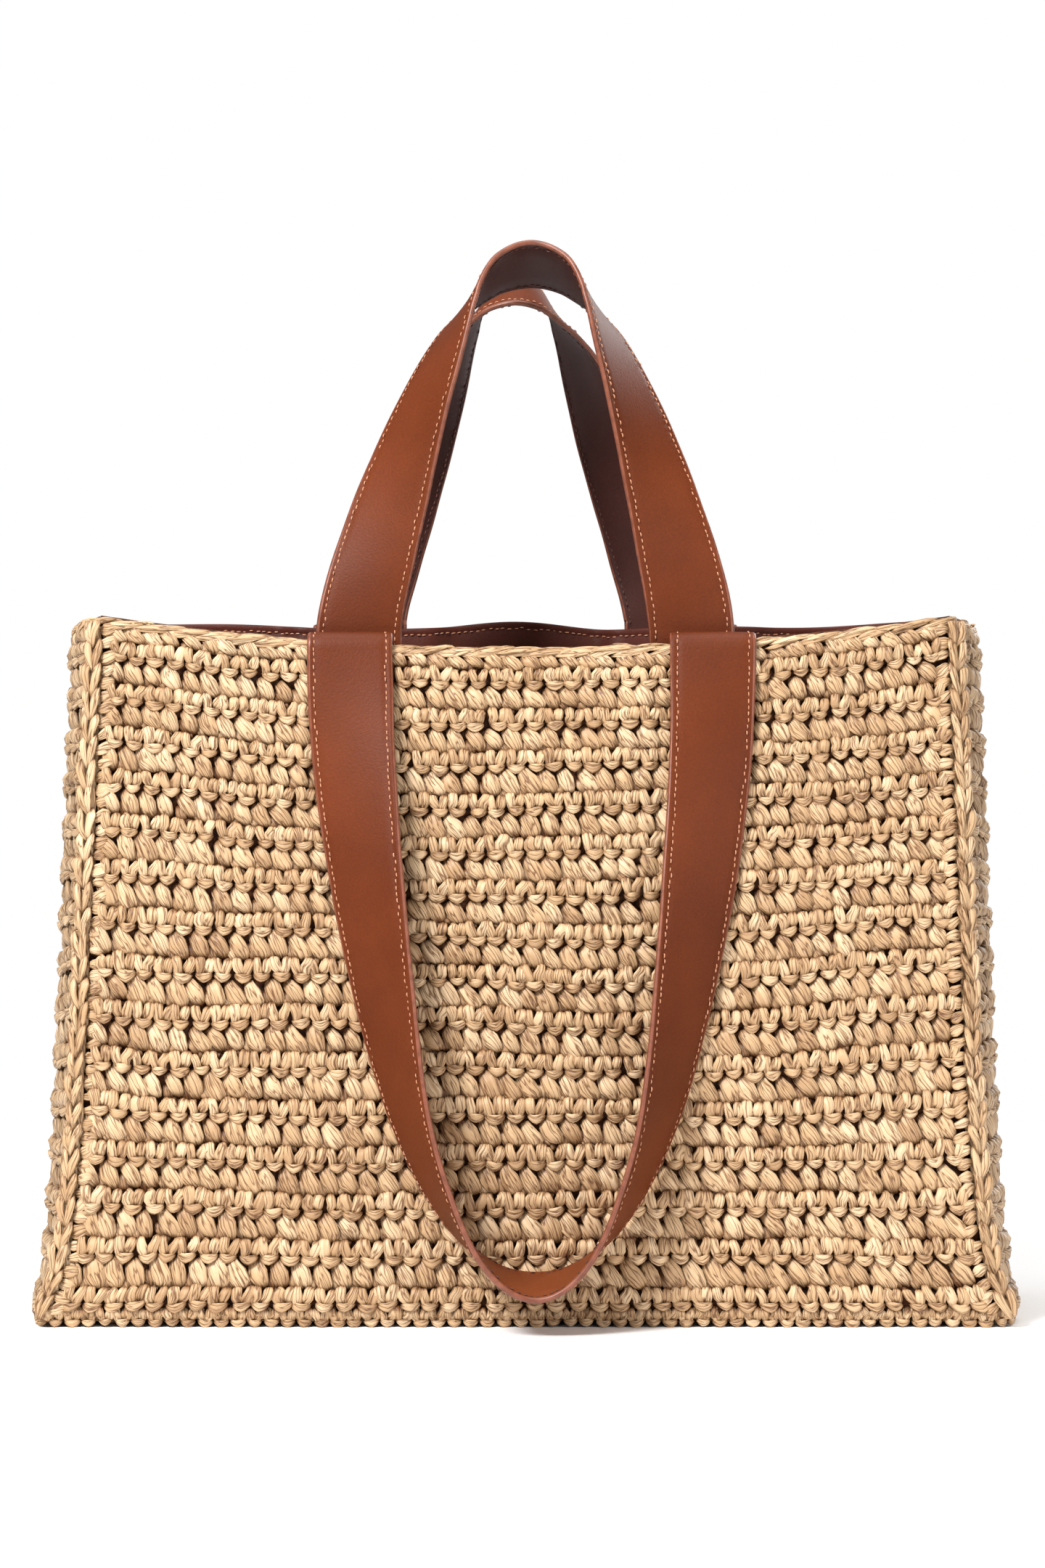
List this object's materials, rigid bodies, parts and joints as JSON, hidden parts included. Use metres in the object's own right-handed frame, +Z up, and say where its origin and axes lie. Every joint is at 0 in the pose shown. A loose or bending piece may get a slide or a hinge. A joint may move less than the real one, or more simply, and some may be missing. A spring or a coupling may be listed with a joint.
{
  "type": "beach tote bag",
  "caption": "Open rectangular crocheted raffia tote with leather grab handles and long leather shoulder straps folded over its rim.",
  "frame": {"origin": "middle of the base, on the surface that the bag stands on", "axes": "+X to the right seen from the front, +Y from front to back, +Z up"},
  "size_m": [0.498, 0.2584, 0.5405],
  "materials": {
    "raffia": "natural flat paper raffia, crocheted, matte with a faint sheen",
    "leather": "tan brown leather with a fine pebble grain, satin, painted edges",
    "leather_backing": "tan brown leather, smoother, satin",
    "facing_leather": "reddish brown leather, matte",
    "thread": "light peach waxed thread",
    "lining_cloth": "plain woven beige cotton"
  },
  "bodies": {
    "bag": {"front_panel": "raffia", "back_panel": "raffia", "left_gusset": "raffia", "right_gusset": "raffia", "base_panel": "raffia", "front_left_seam": "raffia", "front_right_seam": "raffia", "back_left_seam": "raffia", "back_right_seam": "raffia", "base_seam": "raffia", "rim_edging": "raffia", "front_facing": "facing_leather", "back_facing": "facing_leather", "left_facing": "facing_leather", "right_facing": "facing_leather", "facing_stitching": "thread", "strap_end_stitches": "thread", "lining": "lining_cloth", "front_handle_bends": "leather", "front_handle_ends": "leather", "front_strap_bends": "leather", "front_strap_ends": "leather", "back_handle_bends": "leather", "back_handle_ends": "leather", "back_strap_bends": "leather", "back_strap_ends": "leather"},
    "front_handle": {"front_handle_leather": "leather", "front_handle_backing": "leather_backing", "front_handle_stitching": "thread"},
    "front_strap": {"front_strap_leather": "leather", "front_strap_backing": "leather_backing", "front_strap_stitching": "thread"},
    "back_handle": {"back_handle_leather": "leather", "back_handle_backing": "leather_backing", "back_handle_stitching": "thread"},
    "back_strap": {"back_strap_leather": "leather", "back_strap_backing": "leather_backing", "back_strap_stitching": "thread"}
  },
  "joints": [
    {"name": "front_handle_swing", "type": "hinge", "parent": "bag", "child": "front_handle", "pos_m": [0, -0.05092, 0.34284], "axis": [1, 0, 0], "range_deg": [0, 20], "deforming": ["front_handle_bends"]},
    {"name": "front_strap_swing", "type": "hinge", "parent": "bag", "child": "front_strap", "pos_m": [0, -0.06092, 0.33464], "axis": [-1, 0, 0], "range_deg": [0, 135], "deforming": ["front_strap_bends"]},
    {"name": "back_handle_swing", "type": "hinge", "parent": "bag", "child": "back_handle", "pos_m": [0, 0.05044, 0.35095], "axis": [-1, 0, 0], "range_deg": [0, 20], "deforming": ["back_handle_bends"]},
    {"name": "back_strap_swing", "type": "hinge", "parent": "bag", "child": "back_strap", "pos_m": [0, 0.06044, 0.34275], "axis": [1, 0, 0], "range_deg": [0, 135], "deforming": ["back_strap_bends"]}
  ]
}
